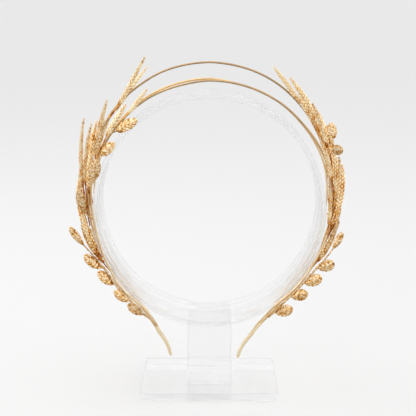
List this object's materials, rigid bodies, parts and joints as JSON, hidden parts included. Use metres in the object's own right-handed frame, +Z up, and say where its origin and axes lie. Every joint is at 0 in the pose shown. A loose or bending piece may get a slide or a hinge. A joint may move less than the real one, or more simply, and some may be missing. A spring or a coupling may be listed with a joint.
{
  "type": "laurel wreath headband crown on clear display stand",
  "caption": "Open laurel crown of thin gold wires with grain-like ears and toothed leaves on both sides, held round the ring of a clear acrylic stand.",
  "frame": {"origin": "middle of the underside of the stand's base plate", "axes": "+Z up, -Y to the front of the crown and stand, +X to the right as seen from the front"},
  "size_m": [0.154, 0.076, 0.1886],
  "materials": {
    "wire_gold": "satin, champagne gold",
    "cast_gold": "granulated, bright champagne gold",
    "clear_acrylic": "clear and polished"
  },
  "bodies": {
    "root": {"stand_base": "clear_acrylic", "stand_upright": "clear_acrylic", "stand_ring": "clear_acrylic", "band": "wire_gold", "left_front_sprig": "cast_gold", "left_back_sprig": "cast_gold", "right_front_sprig": "cast_gold", "right_back_sprig": "cast_gold", "left_ear_1": "cast_gold", "left_ear_2": "cast_gold", "left_ear_3": "cast_gold", "left_ear_4": "cast_gold", "left_ear_5": "cast_gold", "left_ear_6": "cast_gold", "left_ear_7": "cast_gold", "left_ear_8": "cast_gold", "left_ear_9": "cast_gold", "left_ear_10": "cast_gold", "left_ear_11": "cast_gold", "left_ear_12": "cast_gold", "left_ear_13": "cast_gold", "left_ear_14": "cast_gold", "left_ear_15": "cast_gold", "left_ear_16": "cast_gold", "right_ear_1": "cast_gold", "right_ear_2": "cast_gold", "right_ear_3": "cast_gold", "right_ear_4": "cast_gold", "right_ear_5": "cast_gold", "right_ear_6": "cast_gold", "right_ear_7": "cast_gold", "right_ear_8": "cast_gold", "right_ear_9": "cast_gold", "right_ear_10": "cast_gold", "right_ear_11": "cast_gold", "right_ear_12": "cast_gold", "right_ear_13": "cast_gold", "right_ear_14": "cast_gold", "right_ear_15": "cast_gold", "left_leaf_1": "cast_gold", "left_leaf_2": "cast_gold", "left_leaf_3": "cast_gold", "left_leaf_4": "cast_gold", "left_leaf_5": "cast_gold", "left_leaf_6": "cast_gold", "left_leaf_7": "cast_gold", "left_leaf_8": "cast_gold", "left_leaf_9": "cast_gold", "left_leaf_10": "cast_gold", "right_leaf_1": "cast_gold", "right_leaf_2": "cast_gold", "right_leaf_3": "cast_gold", "right_leaf_4": "cast_gold", "right_leaf_5": "cast_gold", "right_leaf_6": "cast_gold", "right_leaf_7": "cast_gold"}
  },
  "joints": []
}
